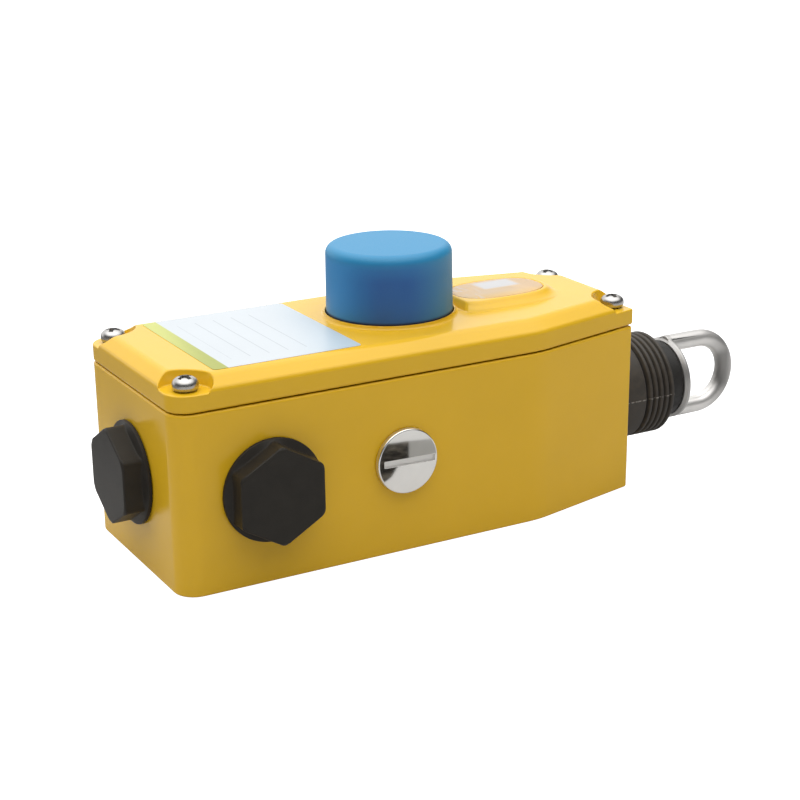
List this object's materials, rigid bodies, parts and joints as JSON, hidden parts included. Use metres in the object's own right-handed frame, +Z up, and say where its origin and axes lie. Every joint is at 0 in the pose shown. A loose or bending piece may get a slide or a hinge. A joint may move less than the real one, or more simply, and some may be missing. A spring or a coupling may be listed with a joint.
{
  "type": "rope-pull safety switch",
  "caption": "Yellow cast rope-pull safety switch with a blue push-to-reset cap, indicator window, plugged conduit entries, ribbed boot and a steel rope eye.",
  "frame": {"origin": "centre of the housing's flat bottom face", "axes": "+Z up out of the lid and reset cap, +X out along the pulled rope, -Y out of the wall with the slotted screw"},
  "size_m": [0.2151, 0.079, 0.081],
  "materials": {
    "yellow_enamel": "satin enamel on a casting",
    "black_polyamide": "fine moulded grain",
    "block_plastic": "moulded",
    "blue_plastic": "satin moulded",
    "rubber": "moulded",
    "steel": "polished",
    "window_plastic": "clear",
    "white_plastic": "moulded",
    "green_plastic": "moulded",
    "brass": "turned"
  },
  "bodies": {
    "housing": {"housing_base": "yellow_enamel", "lid": "yellow_enamel", "lid_gasket": "rubber", "lid_screw_front_left": "steel", "lid_screw_front_right": "steel", "lid_screw_back_left": "steel", "lid_screw_back_right": "steel", "conduit_plug_end": "black_polyamide", "conduit_plug_front": "black_polyamide", "conduit_plug_back": "black_polyamide", "plug_seal_end": "rubber", "plug_seal_front": "rubber", "plug_seal_back": "rubber", "slot_screw": "steel", "slot_screw_seal": "rubber", "window_lens": "window_plastic", "indicator_plate": "white_plastic", "reset_bush": "black_polyamide", "shaft_bush": "brass", "rope_boot": "rubber", "spring_seat": "steel", "return_spring": "steel", "reset_spring": "steel", "mounting_plate": "steel", "plate_screw_front": "steel", "plate_screw_back": "steel", "contact_block_front": "block_plastic", "contact_block_back": "block_plastic", "terminal_screw_front_1": "steel", "terminal_screw_front_2": "steel", "terminal_screw_front_3": "steel", "terminal_screw_front_4": "steel", "terminal_screw_back_1": "steel", "terminal_screw_back_2": "steel", "terminal_screw_back_3": "steel", "terminal_screw_back_4": "steel", "earth_screw": "steel", "latch_bracket": "steel", "latch_pin": "steel"},
    "reset_button": {"reset_cap": "blue_plastic", "reset_stem": "steel", "stem_clip": "steel"},
    "rope_shaft": {"rope_eye": "steel", "pull_shaft": "steel", "shaft_nut": "steel", "shaft_washer": "steel", "cam_slider": "white_plastic", "tension_pointer": "green_plastic"},
    "plunger_front": {"contact_plunger_front": "white_plastic"},
    "plunger_back": {"contact_plunger_back": "white_plastic"},
    "latch": {"latch_lever": "steel"}
  },
  "joints": [
    {"name": "reset_press", "type": "slide", "parent": "housing", "child": "reset_button", "axis": [0, 0, -1], "range_m": [0, 0.005], "stiffness_N_per_m": 1200, "springref_m": -0.004, "deforming": ["reset_spring"]},
    {"name": "rope_pull", "type": "slide", "parent": "housing", "child": "rope_shaft", "axis": [1, 0, 0], "range_m": [0, 0.012], "stiffness_N_per_m": 5000, "springref_m": -0.004, "deforming": ["return_spring", "rope_boot"]},
    {"name": "plunger_front_push", "type": "slide", "parent": "housing", "child": "plunger_front", "axis": [0, -1, 0], "range_m": [0, 0.003]},
    {"name": "plunger_back_push", "type": "slide", "parent": "housing", "child": "plunger_back", "axis": [0, 1, 0], "range_m": [0, 0.003]},
    {"name": "latch_turn", "type": "hinge", "parent": "housing", "child": "latch", "pos_m": [-0.011, 0, 0.044], "axis": [0, 1, 0], "range_deg": [0, 19.5]}
  ],
  "couplings": [
    {"joint": "plunger_front_push", "follows": "rope_pull", "ratio": 0.25},
    {"joint": "plunger_back_push", "follows": "rope_pull", "ratio": 0.25},
    {"joint": "latch_turn", "follows": "reset_press", "rad_per_m": 66}
  ]
}
